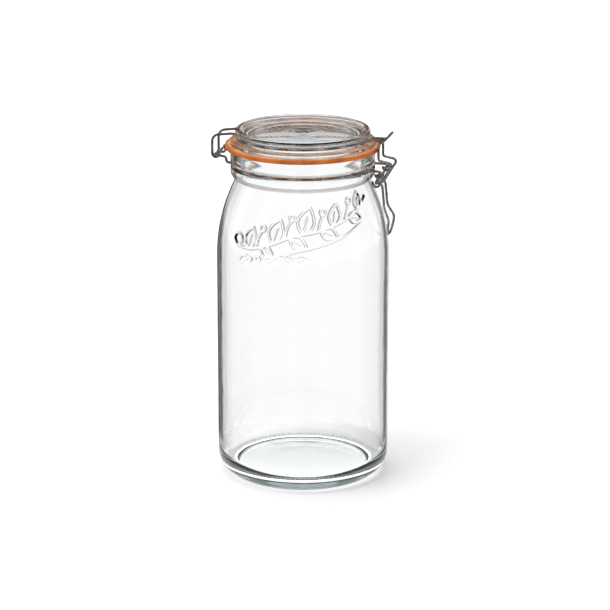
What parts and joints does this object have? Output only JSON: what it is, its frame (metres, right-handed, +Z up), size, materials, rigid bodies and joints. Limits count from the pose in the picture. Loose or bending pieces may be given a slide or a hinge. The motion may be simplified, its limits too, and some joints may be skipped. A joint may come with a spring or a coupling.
{
  "type": "preserving jar",
  "caption": "Clear glass preserving jar with a hinged glass lid, a rubber sealing ring and a wire lever clamp.",
  "frame": {"origin": "middle of the foot, on the plane that the jar stands on", "axes": "+Z up along the jar's axis, +X towards the lever clamp, with the lid's hinge at -X"},
  "size_m": [0.147, 0.138, 0.2828],
  "materials": {
    "glass": "clear, smooth",
    "seal_rubber": "satin",
    "wire": "drawn, lightly worn"
  },
  "bodies": {
    "jar": {"jar_glass": "glass", "rubber_seal": "seal_rubber", "neck_wire": "wire"},
    "lid": {"lid_glass": "glass", "lid_wire": "wire"},
    "lever": {"lever": "wire"},
    "link": {"link": "wire"}
  },
  "joints": [
    {"name": "lid_hinge", "type": "hinge", "parent": "jar", "child": "lid", "pos_m": [-0.0688, 0, 0.259], "axis": [0, -1, 0], "range_deg": [0, 200]},
    {"name": "lever_pivot", "type": "hinge", "parent": "jar", "child": "lever", "pos_m": [0.0642, 0, 0.25065], "axis": [0, -1, 0], "range_deg": [0, 130]},
    {"name": "link_pivot", "type": "hinge", "parent": "lever", "child": "link", "pos_m": [0.0612, 0, 0.24235], "axis": [0, -1, 0], "range_deg": [-143, 0]}
  ],
  "couplings": [
    {"joint": "link_pivot", "follows": "lever_pivot", "ratio": -1.1}
  ]
}
